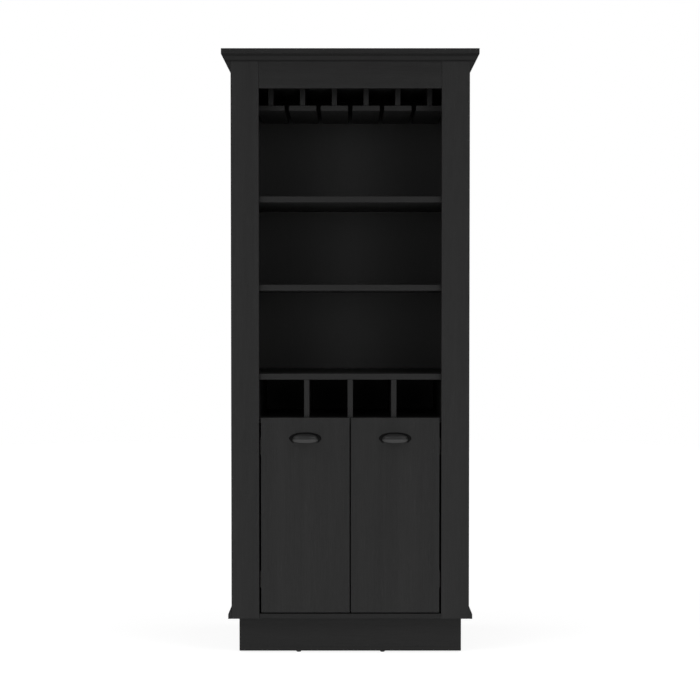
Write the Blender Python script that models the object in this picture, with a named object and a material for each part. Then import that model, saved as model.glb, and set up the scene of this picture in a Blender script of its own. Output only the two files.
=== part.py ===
"""Tall bar cabinet, modelled as the boards and fittings that it is put together from.

The cabinet faces -Y. Its origin is on the floor, at the middle of its footprint, and +Z is up.
All sizes are in metres. Bays, cubbies and doors stack up from the floor, so the height of the
whole follows from theirs.
"""

import math

import bmesh
import bpy
from mathutils import Vector

# Front opening and inside depth
OPENING_WIDTH = 0.543
INSIDE_DEPTH = 0.428

# Boards
CARCASS_BOARD = 0.016
BOTTOM_BOARD = 0.0155
FRONT_BOARD = 0.016
SHELF_BOARD = 0.0175
BACK_BOARD = 0.003
FIT = 0.0003
EDGE_ROUND = 0.0006

# Front frame
STILE_WIDTH = 0.0831
FRIEZE_HEIGHT = 0.100

# Clear heights, from the bottom up
DOOR_HEIGHT = 0.5823
CUBBY_HEIGHT = 0.1142
LOW_BAY_HEIGHT = 0.248
MIDDLE_BAY_HEIGHT = 0.2455
TOP_BAY_HEIGHT = 0.3185

# Crown
CROWN_BOARD = 0.016
CROWN_OVERHANG = 0.0274
CROWN_DROP = 0.049

# Base
GLIDE_HEIGHT = 0.0035
GLIDE_RADIUS = 0.007
LEFT_FRONT_GLIDE = 0.155
RIGHT_FRONT_GLIDE = 0.097
BACK_GLIDE_INSET = 0.045
PLINTH_HEIGHT = 0.1015
PLINTH_BOARD = 0.016
PLINTH_SIDE_INSET = 0.0218
PLINTH_FRONT_SETBACK = 0.025
PLINTH_BACK_SETBACK = 0.015
SKIRT_HEIGHT = 0.038
SKIRT_FLAT = 0.014
SKIRT_OUT = 0.010

# Stemware rack
RAIL_COUNT = 6
RAIL_BOARD = 0.016
RACK_DROP = 0.0495
RACK_SETBACK = 0.111
STEM_SLOT = 0.013
RAIL_TUCK = 0.0125
RACK_PANEL_RISE = 0.021

# Cubbies and cupboard
CENTRE_CUBBY_WIDTH = 0.114
DOOR_GAP = 0.0035
DOOR_SIDE_GAP = 0.0057
DOOR_RISE = 0.001
INNER_SHELF_SETBACK = 0.030

# Hinges
HINGE_FROM_END = 0.090
CUP_RADIUS = 0.0175
CUP_WALL = 0.0015
CUP_EDGE_MARGIN = 0.0045
CUP_RIM = 0.0015
CUP_RIM_WIDTH = 0.0022
DOOR_SKIN = 0.0045
CUP_EAR_HEIGHT = 0.058
CUP_EAR_WIDTH = 0.017
CUP_EAR_OFFSET = 0.0095
ARM_HEIGHT = 0.012
ARM_REACH = 0.0700
ARM_THICKNESS = 0.008
ARM_TIP_GAP = 0.0004
ARM_SWING_CLEARANCE = 0.001
PLATE_HEIGHT = 0.050
PLATE_LENGTH = 0.034
PLATE_THICKNESS = 0.007

# Cup pulls
PULL_WIDTH = 0.096
PULL_HEIGHT = 0.030
PULL_PROJECTION = 0.022
PULL_WALL = 0.002
PULL_LIP = 0.010
PULL_LIP_TUCK = 0.004
PULL_LIP_RISE = 0.005
PULL_FLANGE_WIDTH = 0.004
PULL_FLANGE_ENDS = 0.0105
PULL_FLANGE_FOOT = 0.008
PULL_FLANGE = 0.0022
PULL_BELOW_DOOR_TOP = 0.0435
PULL_ROUNDNESS = 0.85
POST_RADIUS = 0.0035
POST_END_MARGIN = 0.015
SCREW_RADIUS = 0.002
SCREW_DEPTH = 0.008
SCREW_HEAD_RADIUS = 0.0042
SCREW_HEAD_HEIGHT = 0.0024

# Fineness of round shapes
ROUND_STEPS = 32
SMALL_ROUND_STEPS = 16
PULL_STEPS_ACROSS = 26
PULL_STEPS_FORWARD = 6
SMOOTH_ANGLE = math.radians(30)

# Half widths, measured from the middle of the cabinet
HALF_OPENING = OPENING_WIDTH / 2
HALF_BODY = HALF_OPENING + STILE_WIDTH
HALF_INSIDE = HALF_BODY - CARCASS_BOARD
HALF_CROWN = HALF_BODY + CROWN_OVERHANG
HALF_PLINTH = HALF_BODY - PLINTH_SIDE_INSET

# Depths, from the face of the front frame back to the wall
CROWN_REACH = CROWN_OVERHANG - FRONT_BOARD
PULL_REACH = FIT + PULL_PROJECTION
BODY_DEPTH = FRONT_BOARD + INSIDE_DEPTH + BACK_BOARD
FACE = (max(CROWN_REACH, PULL_REACH) - BODY_DEPTH) / 2
CARCASS_FRONT = FACE + FRONT_BOARD
BACK_FACE = CARCASS_FRONT + INSIDE_DEPTH
WALL = BACK_FACE + BACK_BOARD

# Heights, from the floor up
BODY_FOOT = GLIDE_HEIGHT + PLINTH_HEIGHT
BOTTOM_TOP = BODY_FOOT + BOTTOM_BOARD
DOOR_FOOT = BOTTOM_TOP + DOOR_GAP
DOOR_TOP = DOOR_FOOT + DOOR_HEIGHT
CUBBY_FLOOR = DOOR_TOP - DOOR_RISE
CUBBY_CEILING = CUBBY_FLOOR + CUBBY_HEIGHT
LOW_BAY_FLOOR = CUBBY_CEILING + SHELF_BOARD
LOW_BAY_CEILING = LOW_BAY_FLOOR + LOW_BAY_HEIGHT
MIDDLE_BAY_FLOOR = LOW_BAY_CEILING + SHELF_BOARD
MIDDLE_BAY_CEILING = MIDDLE_BAY_FLOOR + MIDDLE_BAY_HEIGHT
TOP_BAY_FLOOR = MIDDLE_BAY_CEILING + SHELF_BOARD
FRIEZE_FOOT = TOP_BAY_FLOOR + TOP_BAY_HEIGHT
BODY_TOP = FRIEZE_FOOT + FRIEZE_HEIGHT
RACK_CEILING = FRIEZE_FOOT + RACK_PANEL_RISE

# Hinge places, from the hinge axis into the door and back from the face
CUP_CENTRE = CUP_EDGE_MARGIN + CUP_RADIUS
CUP_INNER_RADIUS = CUP_RADIUS - CUP_WALL
CUP_RIM_BACK = FRONT_BOARD + FIT + CUP_RIM
CUP_FLOOR = DOOR_SKIN + FIT + CUP_WALL

# Pull places, from the middle of its lower edge
DOME_HALF_WIDTH = PULL_WIDTH / 2 - PULL_FLANGE_ENDS
DOME_HEIGHT = PULL_HEIGHT - PULL_LIP - PULL_FLANGE_WIDTH
POST_ACROSS = DOME_HALF_WIDTH - POST_END_MARGIN
POST_HEIGHT = PULL_LIP + 2 * POST_RADIUS
POST_BORE = SCREW_RADIUS + FIT


def clear_scene():
    for old in list(bpy.data.objects):
        bpy.data.objects.remove(old, do_unlink=True)


def make_finish(name, colour, roughness, metallic=0.0):
    """A plain surface finish: linear colour, roughness and metallic value."""
    finish = bpy.data.materials.new(name)
    finish.use_nodes = True
    shader = finish.node_tree.nodes["Principled BSDF"]
    shader.inputs["Base Color"].default_value = (*colour, 1.0)
    shader.inputs["Roughness"].default_value = roughness
    shader.inputs["Metallic"].default_value = metallic
    return finish


def make_finishes():
    return {
        "board": make_finish("black_melamine", (0.009, 0.009, 0.009), 0.46),
        "front": make_finish("black_front_board", (0.009, 0.009, 0.009), 0.44),
        "back": make_finish("black_hardboard", (0.010, 0.010, 0.009), 0.55),
        "pull": make_finish("black_pull_metal", (0.012, 0.012, 0.012), 0.34),
        "steel": make_finish("black_nickel_steel", (0.090, 0.088, 0.086), 0.30, 1.0),
        "glide": make_finish("black_plastic", (0.015, 0.015, 0.015), 0.50),
    }


def add_object(name, mesh, finish, place, parent=None):
    """Puts a mesh into the scene with its origin at a world place, under a parent if one is given."""
    if finish:
        mesh.materials.append(finish)
    piece = bpy.data.objects.new(name, mesh)
    piece.location = Vector(place) - (parent.location if parent else Vector())
    piece.parent = parent
    bpy.context.scene.collection.objects.link(piece)
    return piece


def mesh_of(name, shape):
    """Turns a bmesh into a mesh with all its faces pointing out."""
    bmesh.ops.recalc_face_normals(shape, faces=shape.faces)
    mesh = bpy.data.meshes.new(name)
    shape.to_mesh(mesh)
    shape.free()
    return mesh


def smooth(piece):
    piece.data.shade_smooth()
    piece.data.set_sharp_from_angle(angle=SMOOTH_ANGLE)
    return piece


def round_edges(piece, width=EDGE_ROUND):
    """Takes the sharpness off the edges of a board, as its edge banding does."""
    bevel = piece.modifiers.new("edge_round", "BEVEL")
    bevel.width = width
    bevel.segments = 1
    return piece


def as_cutter(piece):
    piece.hide_render = True
    piece.display_type = "WIRE"
    return piece


def combine(piece, other, operation):
    """Joins another object to a piece, or cuts it away, and keeps the other as a hidden guide."""
    step = piece.modifiers.new(other.name, "BOOLEAN")
    step.operation = operation
    step.solver = "EXACT"
    step.object = as_cutter(other)


def board(name, across, deep, up, finish, parent=None, edge=EDGE_ROUND):
    """A rectangular board between two limits each way, with its origin at its middle.

    A mirrored place may give the limits of a direction in either order.
    """
    spans = [sorted(span) for span in (across, deep, up)]
    middle = Vector([(low + high) / 2 for low, high in spans])
    size = Vector([high - low for low, high in spans])
    shape = bmesh.new()
    bmesh.ops.create_cube(shape, size=1.0)
    bmesh.ops.scale(shape, vec=size, verts=shape.verts)
    piece = add_object(name, mesh_of(name, shape), finish, middle, parent)
    if edge:
        round_edges(piece, edge)
    return piece


def prism(name, low_outline, high_outline, finish, parent=None, place=(0, 0, 0)):
    """A solid between two outlines of as many points, such as a moulding between its two ends."""
    shape = bmesh.new()
    low = [shape.verts.new(point) for point in low_outline]
    high = [shape.verts.new(point) for point in high_outline]
    shape.faces.new(low)
    shape.faces.new(high)
    for here in range(len(low)):
        after = (here + 1) % len(low)
        shape.faces.new((low[here], low[after], high[after], high[here]))
    return add_object(name, mesh_of(name, shape), finish, place, parent)


def lathe(name, profile, direction, place, finish, parent=None, steps=ROUND_STEPS):
    """A turned solid. The profile lists (radius, distance along the axis) from axis to axis."""
    shape = bmesh.new()
    axis = Vector(direction).normalized()
    side = axis.orthogonal().normalized()
    chain = [shape.verts.new(side * radius + axis * along) for radius, along in profile]
    edges = [shape.edges.new(pair) for pair in zip(chain, chain[1:])]
    bmesh.ops.spin(shape, geom=chain + edges, cent=(0, 0, 0), axis=axis,
                   angle=2 * math.pi, steps=steps, use_duplicate=False)
    bmesh.ops.remove_doubles(shape, verts=shape.verts, dist=1e-6)
    return smooth(add_object(name, mesh_of(name, shape), finish, place, parent))


def rod(name, radius, direction, start, length, finish=None, parent=None, steps=ROUND_STEPS):
    """A plain round bar, which also serves as a drill."""
    profile = [(0, 0), (radius, 0), (radius, length), (0, length)]
    return lathe(name, profile, direction, start, finish, parent, steps)


def mirrored(side, *values):
    """The values on the right side of the cabinet, or their mirror image on the left."""
    sign = {"left": -1, "right": 1}[side]
    return tuple(sign * value for value in values)


def make_carcass(finishes):
    board_finish = finishes["board"]
    between_sides = (-HALF_INSIDE + FIT, HALF_INSIDE - FIT)
    inside_deep = (CARCASS_FRONT + FIT, BACK_FACE - FIT)
    for side in ("left", "right"):
        board(f"{side}_side_panel", mirrored(side, HALF_INSIDE, HALF_BODY), inside_deep,
              (BODY_FOOT, BODY_TOP - FIT), finishes["front"])
        board(f"{side}_partition", mirrored(side, HALF_OPENING, HALF_OPENING + CARCASS_BOARD),
              inside_deep, (BOTTOM_TOP + FIT, CUBBY_CEILING - FIT), board_finish)
    make_bottom_panel(finishes["front"])
    board("rack_panel", between_sides, inside_deep,
          (RACK_CEILING, RACK_CEILING + CARCASS_BOARD), board_finish)
    board("back_panel", (-HALF_BODY, HALF_BODY), (BACK_FACE, WALL),
          (BODY_FOOT, BODY_TOP - FIT), finishes["back"], edge=0)
    shelf_floors = {"cubby_top_shelf": CUBBY_CEILING, "middle_shelf": LOW_BAY_CEILING,
                    "upper_shelf": MIDDLE_BAY_CEILING}
    for name, underside in shelf_floors.items():
        board(name, between_sides, inside_deep, (underside, underside + SHELF_BOARD), board_finish)


def make_bottom_panel(finish):
    """The bottom board, whose front tongue comes forward between the stiles."""
    tongue = HALF_OPENING - FIT
    width = HALF_INSIDE - FIT
    front = CARCASS_FRONT + FIT
    outline = [(-tongue, FACE), (tongue, FACE), (tongue, front), (width, front),
               (width, BACK_FACE - FIT), (-width, BACK_FACE - FIT), (-width, front), (-tongue, front)]
    low = [(x, y, BODY_FOOT) for x, y in outline]
    high = [(x, y, BOTTOM_TOP) for x, y in outline]
    round_edges(prism("bottom_panel", low, high, finish))


def make_front_frame(finishes):
    deep = (FACE, CARCASS_FRONT)
    for side in ("left", "right"):
        board(f"{side}_stile", mirrored(side, HALF_OPENING, HALF_BODY), deep,
              (BODY_FOOT, BODY_TOP - FIT), finishes["front"])
    board("frieze", (-HALF_OPENING + FIT, HALF_OPENING - FIT), deep,
          (FRIEZE_FOOT, BODY_TOP - FIT), finishes["front"], edge=0)


def make_crown(finishes):
    """The top board and the slanted moulding under it, mitred at both front corners."""
    front = CARCASS_FRONT - CROWN_OVERHANG
    board("crown_board", (-HALF_CROWN, HALF_CROWN), (front, WALL),
          (BODY_TOP, BODY_TOP + CROWN_BOARD), finishes["front"])
    top = BODY_TOP - FIT
    foot = BODY_TOP - CROWN_DROP
    for side in ("left", "right"):
        inner, outer = mirrored(side, HALF_BODY + FIT, HALF_CROWN)
        back_end = [(inner, WALL, top), (outer, WALL, top), (inner, WALL, foot)]
        mitre = CARCASS_FRONT + 2 * FIT
        front_end = [(inner, mitre, top), (outer, mitre - CROWN_OVERHANG, top), (inner, mitre, foot)]
        prism(f"crown_{side}", back_end, front_end, finishes["front"])
    ends = []
    for side in ("left", "right"):
        inner, outer = mirrored(side, HALF_BODY, HALF_CROWN)
        ends.append([(inner, CARCASS_FRONT, top), (outer, front, top), (inner, CARCASS_FRONT, foot)])
    moulding = prism("crown_front", ends[0], ends[1], finishes["front"])
    recess = board("crown_recess", (-HALF_BODY - FIT, HALF_BODY + FIT),
                   (FACE - FIT, CARCASS_FRONT + CROWN_DROP), (foot - CROWN_DROP, top + CROWN_DROP),
                   None, edge=0)
    combine(moulding, recess, "DIFFERENCE")


def make_base(finishes):
    """The plinth under the body, its glides, and the skirt moulding along both sides."""
    front = FACE + PLINTH_FRONT_SETBACK
    back = WALL - PLINTH_BACK_SETBACK
    up = (GLIDE_HEIGHT + FIT, BODY_FOOT - FIT)
    across = (-HALF_PLINTH, HALF_PLINTH)
    board("plinth_front", across, (front, front + PLINTH_BOARD), up, finishes["front"])
    board("plinth_back", across, (back - PLINTH_BOARD, back), up, finishes["front"])
    for side in ("left", "right"):
        board(f"plinth_{side}", mirrored(side, HALF_PLINTH - PLINTH_BOARD, HALF_PLINTH),
              (front + PLINTH_BOARD + FIT, back - PLINTH_BOARD - FIT), up, finishes["front"])
        make_skirt(side, finishes["front"])
    front_row = front + PLINTH_BOARD / 2
    back_row = back - PLINTH_BOARD / 2
    back_place = HALF_PLINTH - BACK_GLIDE_INSET
    make_glide("front_left_glide", (-LEFT_FRONT_GLIDE, front_row), finishes["glide"])
    make_glide("front_right_glide", (RIGHT_FRONT_GLIDE, front_row), finishes["glide"])
    make_glide("back_left_glide", (-back_place, back_row), finishes["glide"])
    make_glide("back_right_glide", (back_place, back_row), finishes["glide"])


def make_skirt(side, finish):
    """A moulding whose outer face is upright at the foot and slants back to the side panel above."""
    inner, outer = mirrored(side, HALF_BODY + FIT, HALF_BODY + SKIRT_OUT)
    section = [(inner, BODY_FOOT), (outer, BODY_FOOT), (outer, BODY_FOOT + SKIRT_FLAT),
               (inner, BODY_FOOT + SKIRT_HEIGHT)]
    ends = [[(x, y, z) for x, z in section] for y in (FACE, WALL)]
    prism(f"skirt_{side}", ends[0], ends[1], finish)


def make_glide(name, place, finish):
    """A nail-on glide: a flat foot with a chamfered rim."""
    rim = GLIDE_HEIGHT / 4
    profile = [(0, 0), (GLIDE_RADIUS - rim, 0), (GLIDE_RADIUS, rim),
               (GLIDE_RADIUS, GLIDE_HEIGHT), (0, GLIDE_HEIGHT)]
    lathe(name, profile, (0, 0, 1), (*place, 0), finish, steps=SMALL_ROUND_STEPS)


def make_glass_rack(finish):
    """Rails of an upright web and a wide flange under it, with a slot for a stem between flanges."""
    reach = HALF_OPENING + RAIL_TUCK
    flange_width = (2 * reach - (RAIL_COUNT - 1) * STEM_SLOT) / RAIL_COUNT
    deep = (CARCASS_FRONT + RACK_SETBACK, BACK_FACE - FIT)
    flange_foot = FRIEZE_FOOT - RACK_DROP
    web_foot = flange_foot + RAIL_BOARD
    for number in range(RAIL_COUNT):
        left = -reach + number * (flange_width + STEM_SLOT)
        middle = left + flange_width / 2
        board(f"rail_flange_{number + 1}", (left, left + flange_width), deep,
              (flange_foot, web_foot - FIT), finish)
        board(f"rail_web_{number + 1}", (middle - RAIL_BOARD / 2, middle + RAIL_BOARD / 2), deep,
              (web_foot, RACK_CEILING - FIT), finish)


def make_cubbies_and_cupboard(finish):
    """The floor and the dividers of the bottle cubbies, and the shelf behind the doors."""
    across = (-HALF_OPENING + FIT, HALF_OPENING - FIT)
    deep = (CARCASS_FRONT + FIT, BACK_FACE - FIT)
    board("cubby_floor", across, deep, (CUBBY_FLOOR - CARCASS_BOARD, CUBBY_FLOOR), finish)
    step = CENTRE_CUBBY_WIDTH + CARCASS_BOARD
    for name, middle in (("left", -step), ("centre", 0), ("right", step)):
        board(f"{name}_divider", (middle - CARCASS_BOARD / 2, middle + CARCASS_BOARD / 2), deep,
              (CUBBY_FLOOR + FIT, CUBBY_CEILING - FIT), finish)
    halfway = (BOTTOM_TOP + CUBBY_FLOOR - CARCASS_BOARD) / 2
    board("inner_shelf", across, (CARCASS_FRONT + INNER_SHELF_SETBACK, BACK_FACE - FIT),
          (halfway - CARCASS_BOARD / 2, halfway + CARCASS_BOARD / 2), finish)


def make_hinge_cup(side, level, height, pivot, finish):
    """The cup of a concealed hinge, sunk into the back of the door, with its two screw ears."""
    name = f"{side}_{level}_hinge_cup"
    middle, ear_near, ear_far = inward(side, CUP_CENTRE,
                                       CUP_CENTRE + CUP_EAR_OFFSET - CUP_EAR_WIDTH / 2,
                                       CUP_CENTRE + CUP_EAR_OFFSET + CUP_EAR_WIDTH / 2)
    rim_radius = CUP_RADIUS + CUP_RIM_WIDTH
    bottom = DOOR_SKIN + FIT
    rim_front = CUP_RIM_BACK - CUP_RIM
    profile = [(0, bottom), (CUP_RADIUS - FIT, bottom), (CUP_RADIUS - FIT, rim_front),
               (rim_radius, rim_front), (rim_radius, CUP_RIM_BACK), (0, CUP_RIM_BACK)]
    centre = (middle, FACE, height)
    cup = lathe(name, profile, (0, 1, 0), centre, finish, pivot)
    ear_back = CUP_RIM_BACK - CUP_RIM / 4
    ears = board(f"{name}_ears", (ear_near, ear_far), (FACE + rim_front, FACE + ear_back),
                 (height - CUP_EAR_HEIGHT / 2, height + CUP_EAR_HEIGHT / 2), None, pivot, edge=0)
    combine(cup, ears, "UNION")
    hollow = rod(f"{name}_hollow", CUP_INNER_RADIUS, (0, 1, 0), (middle, FACE + CUP_FLOOR, height),
                 FRONT_BOARD, parent=pivot)
    combine(cup, hollow, "DIFFERENCE")


def inward(side, *distances):
    """Places measured from a door's hinge axis towards the middle of the cabinet."""
    axis = HALF_OPENING - DOOR_SIDE_GAP
    return mirrored(side, *(axis - distance for distance in distances))


def make_hinge_arm(side, level, height, finish):
    """The arm of a concealed hinge on its mounting plate, which is screwed to the partition.

    Its nose stands in the cup of the closed door, clear of the circle that the rim swings on.
    """
    swing = math.hypot(CUP_CENTRE - CUP_INNER_RADIUS, CUP_RIM_BACK)
    nose_near = swing + ARM_SWING_CLEARANCE
    nose_far = nose_near + ARM_THICKNESS
    tip = CUP_FLOOR + ARM_TIP_GAP
    elbow = CUP_RIM_BACK + ARM_THICKNESS
    seat = PLATE_THICKNESS - DOOR_SIDE_GAP
    end = FRONT_BOARD + ARM_REACH
    outline = [(nose_near, tip), (nose_far, tip), (nose_far, elbow),
               (seat + ARM_THICKNESS, elbow + nose_far - seat - ARM_THICKNESS),
               (seat + ARM_THICKNESS, end), (seat - ARM_THICKNESS / 4, end),
               (seat - ARM_THICKNESS / 4, elbow + ARM_THICKNESS), (nose_near, elbow - ARM_THICKNESS / 2)]
    levels = [height - ARM_HEIGHT / 2, height + ARM_HEIGHT / 2]
    low, high = ([(*inward(side, into), FACE + back, level_z) for into, back in outline]
                 for level_z in levels)
    arm = prism(f"{side}_{level}_hinge_arm", low, high, finish)
    plate = board(f"{side}_{level}_hinge_plate", inward(side, FIT - DOOR_SIDE_GAP, seat),
                  (FACE + end - PLATE_LENGTH, FACE + end - ARM_THICKNESS / 2),
                  (height - PLATE_HEIGHT / 2, height + PLATE_HEIGHT / 2), None, edge=0)
    combine(arm, plate, "UNION")


def make_door(side, finishes):
    """An inset door that turns about the outer edge of its front face."""
    edge, meeting = inward(side, 0, HALF_OPENING - DOOR_SIDE_GAP - DOOR_GAP / 2)
    pivot = bpy.data.objects.new(f"{side}_door_pivot", None)
    pivot.location = (edge, FACE, DOOR_FOOT)
    bpy.context.scene.collection.objects.link(pivot)
    door = board(f"{side}_door", (edge, meeting), (FACE, CARCASS_FRONT), (DOOR_FOOT, DOOR_TOP),
                 finishes["front"], pivot)
    for level, height in (("lower", DOOR_FOOT + HINGE_FROM_END), ("upper", DOOR_TOP - HINGE_FROM_END)):
        place = (inward(side, CUP_CENTRE)[0], FACE + DOOR_SKIN, height)
        combine(door, rod(f"{door.name}_{level}_cup_hole", CUP_RADIUS, (0, 1, 0), place,
                          2 * FRONT_BOARD, parent=pivot), "DIFFERENCE")
        make_hinge_cup(side, level, height, pivot, finishes["steel"])
        make_hinge_arm(side, level, height, finishes["steel"])
    make_pull(side, door, pivot, (edge + meeting) / 2, finishes)


def rounded(share):
    """A cosine or sine, swollen so that the outline of the pull is squarer than an ellipse."""
    return math.copysign(abs(share) ** PULL_ROUNDNESS, share)


def dome_reach(across, up):
    """How far the outside of the pull's dome stands out at a place behind it."""
    width_share = abs(across) / DOME_HALF_WIDTH
    radius_share = (1 - width_share ** (2 / PULL_ROUNDNESS)) ** (PULL_ROUNDNESS / 2)
    height_share = (up - PULL_LIP) / DOME_HEIGHT
    return PULL_PROJECTION * math.sqrt(radius_share ** 2 - height_share ** 2)


def dome_grid(inset):
    """Rows of points over the dome and its lip, from one end to the other, drawn in by the inset.

    The lip tucks back under the dome, more and more towards its lower edge, which rises at the ends.
    """
    half_width = DOME_HALF_WIDTH - inset
    height = DOME_HEIGHT - inset
    reach = PULL_PROJECTION - inset
    start = PULL_FLANGE / 2
    first = math.asin((start / PULL_PROJECTION) ** (1 / PULL_ROUNDNESS))
    columns = []
    for step in range(PULL_STEPS_ACROSS + 1):
        turn = first + (math.pi - 2 * first) * step / PULL_STEPS_ACROSS
        across = rounded(math.cos(turn)) * half_width
        share = rounded(math.sin(turn))
        column = []
        for row in range(PULL_STEPS_FORWARD + 1):
            forward = math.pi / 2 * row / PULL_STEPS_FORWARD
            column.append((across, -start - (reach - start) * share * math.sin(forward),
                           PULL_LIP + height * share * math.cos(forward)))
        edge_height = PULL_LIP_RISE * (1 - share ** 2)
        for down, tuck in ((1 / 2, PULL_LIP_TUCK / 4), (1, PULL_LIP_TUCK)):
            column.append((across, -start - (reach - start - tuck) * share,
                           PULL_LIP - (PULL_LIP - edge_height) * down))
        columns.append(column)
    return columns


def make_dome(name, place, finish, parent):
    """The hollow dome of a cup pull: an outer and an inner skin, joined all the way round."""
    shape = bmesh.new()
    skins = [[[shape.verts.new(point) for point in column] for column in dome_grid(inset)]
             for inset in (0, PULL_WALL)]
    outer, inner = skins
    for skin in skins:
        for column, beside in zip(skin, skin[1:]):
            for row in range(len(column) - 1):
                shape.faces.new((column[row], column[row + 1], beside[row + 1], beside[row]))
    for end in (0, -1):
        for row in range(len(outer[0]) - 1):
            shape.faces.new((outer[end][row], outer[end][row + 1], inner[end][row + 1], inner[end][row]))
        for step in range(len(outer) - 1):
            shape.faces.new((outer[step][end], outer[step + 1][end],
                             inner[step + 1][end], inner[step][end]))
    return smooth(add_object(name, mesh_of(name, shape), finish, place, parent))


def arch(half_width, height, foot_inset=0.0):
    """Points of a flat-topped arch whose feet slant in and end just above the pull's lower edge."""
    points = [(half_width - foot_inset, FIT)]
    for step in range(PULL_STEPS_ACROSS + 1):
        turn = math.pi * step / PULL_STEPS_ACROSS
        lift = (height - PULL_LIP) * abs(rounded(math.sin(turn)))
        points.append((rounded(math.cos(turn)) * half_width, PULL_LIP + lift))
    points.append((foot_inset - half_width, FIT))
    return points


def make_flange(name, place, parent):
    """The flat border that the dome of a pull grows out of, open at the bottom."""
    inner_width = DOME_HALF_WIDTH - PULL_WALL - PULL_FLANGE_WIDTH / 4
    inner_height = PULL_LIP + DOME_HEIGHT - PULL_WALL - PULL_FLANGE_WIDTH / 4
    outlines = (arch(PULL_WIDTH / 2, PULL_HEIGHT, PULL_FLANGE_FOOT), arch(inner_width, inner_height))
    shape = bmesh.new()
    rings = []
    for deep in (0, -PULL_FLANGE):
        for outline in outlines:
            rings.append([shape.verts.new((x, deep, z)) for x, z in outline])
    back_outer, back_inner, front_outer, front_inner = rings
    pairs = ((back_outer, back_inner), (front_outer, front_inner),
             (back_outer, front_outer), (back_inner, front_inner))
    for one, other in pairs:
        for step in range(len(one) - 1):
            shape.faces.new((one[step], one[step + 1], other[step + 1], other[step]))
    for end in (0, -1):
        shape.faces.new((back_outer[end], back_inner[end], front_inner[end], front_outer[end]))
    return add_object(name, mesh_of(name, shape), None, place, parent)


def make_post(name, middle, place, parent):
    """A screw post from the door to the middle of the dome's wall, wherever that wall is."""
    seat, tip = [], []
    for step in range(SMALL_ROUND_STEPS):
        turn = 2 * math.pi * step / SMALL_ROUND_STEPS
        across = middle + POST_RADIUS * math.cos(turn)
        up = POST_HEIGHT + POST_RADIUS * math.sin(turn)
        seat.append((across, 0, up))
        tip.append((across, PULL_WALL / 2 - dome_reach(across, up), up))
    return prism(name, seat, tip, None, parent, place)


def make_pull(side, door, pivot, middle, finishes):
    """A cup pull, the two screws that hold it through the door, and their holes."""
    place = (middle, FACE - FIT, DOOR_TOP - PULL_BELOW_DOOR_TOP - PULL_HEIGHT)
    name = f"{side}_cup_pull"
    pull = make_dome(name, place, finishes["pull"], pivot)
    combine(pull, make_flange(f"{name}_flange", place, pivot), "UNION")
    for number, across in ((1, -POST_ACROSS), (2, POST_ACROSS)):
        combine(pull, make_post(f"{name}_post_{number}", across, place, pivot), "UNION")
        screw_place = Vector(place) + Vector((across, 0, POST_HEIGHT))
        drill_start = screw_place + Vector((0, 2 * FRONT_BOARD, 0))
        drill = rod(f"{name}_drill_{number}", POST_BORE, (0, -1, 0), drill_start,
                    2 * FRONT_BOARD + SCREW_DEPTH + FIT, parent=pivot, steps=SMALL_ROUND_STEPS)
        combine(pull, drill, "DIFFERENCE")
        combine(door, drill, "DIFFERENCE")
        make_pull_screw(f"{side}_pull_screw_{number}", screw_place, pivot, finishes["steel"])


def make_pull_screw(name, centre, pivot, finish):
    """A pan-head screw with its head on the back of the door and its tip in the pull's post."""
    head_seat = FRONT_BOARD + 2 * FIT
    tip = -SCREW_DEPTH
    crown = head_seat + SCREW_HEAD_HEIGHT
    profile = [(0, tip), (SCREW_RADIUS, tip), (SCREW_RADIUS, head_seat),
               (SCREW_HEAD_RADIUS, head_seat), (SCREW_HEAD_RADIUS, head_seat + SCREW_HEAD_HEIGHT / 2),
               (SCREW_HEAD_RADIUS * 2 / 3, crown), (0, crown)]
    lathe(name, profile, (0, 1, 0), centre, finish, pivot, SMALL_ROUND_STEPS)


def main():
    clear_scene()
    finishes = make_finishes()
    make_carcass(finishes)
    make_front_frame(finishes)
    make_crown(finishes)
    make_base(finishes)
    make_glass_rack(finishes["board"])
    make_cubbies_and_cupboard(finishes["board"])
    for side in ("left", "right"):
        make_door(side, finishes)


main()
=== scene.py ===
"""Looks of a tall bar cabinet in black woodgrain laminate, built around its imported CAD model."""

import logging
import math
from dataclasses import dataclass, field
from enum import Enum
from typing import Iterable, Sequence

import bmesh
import bpy
from mathutils import Matrix, Vector


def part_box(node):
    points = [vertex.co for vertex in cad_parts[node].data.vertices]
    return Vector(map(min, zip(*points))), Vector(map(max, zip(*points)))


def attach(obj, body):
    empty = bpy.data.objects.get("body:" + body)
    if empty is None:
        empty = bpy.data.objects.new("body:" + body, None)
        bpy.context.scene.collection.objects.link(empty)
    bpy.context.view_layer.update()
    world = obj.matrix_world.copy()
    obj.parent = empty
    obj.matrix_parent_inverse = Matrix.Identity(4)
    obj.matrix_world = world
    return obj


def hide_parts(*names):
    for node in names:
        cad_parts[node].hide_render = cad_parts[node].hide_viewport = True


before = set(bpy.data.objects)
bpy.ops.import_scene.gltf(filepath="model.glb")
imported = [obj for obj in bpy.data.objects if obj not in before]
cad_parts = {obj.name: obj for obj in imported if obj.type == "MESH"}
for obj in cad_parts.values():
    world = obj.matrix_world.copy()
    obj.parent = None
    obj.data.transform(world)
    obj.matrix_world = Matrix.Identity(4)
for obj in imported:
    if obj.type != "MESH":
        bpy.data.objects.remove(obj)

LOG = logging.getLogger("bar_cabinet")
CABINET = "cabinet"
SIDES = ("left", "right")
LEVELS = ("lower", "upper")
# Drops below the crown's top and the body's foot of the painted shade lines along joints.
CROWN_UPPER_SHADE_LINE_DROP = 0.0035
CROWN_LOWER_SHADE_LINE_DROP = 0.0190
BODY_FOOT_SHADE_LINE_DROP = 0.0018

Colour = tuple[float, float, float]
Point = tuple[float, float, float]


class Grain(Enum):
    """The direction that a board's grain runs in."""

    ACROSS = 0
    DEEP = 1
    UP = 2

    def stretch(self, share: float) -> Point:
        """Scales for a texture that is drawn out along the grain."""
        return tuple(share if axis == self.value else 1.0 for axis in range(3))


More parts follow.
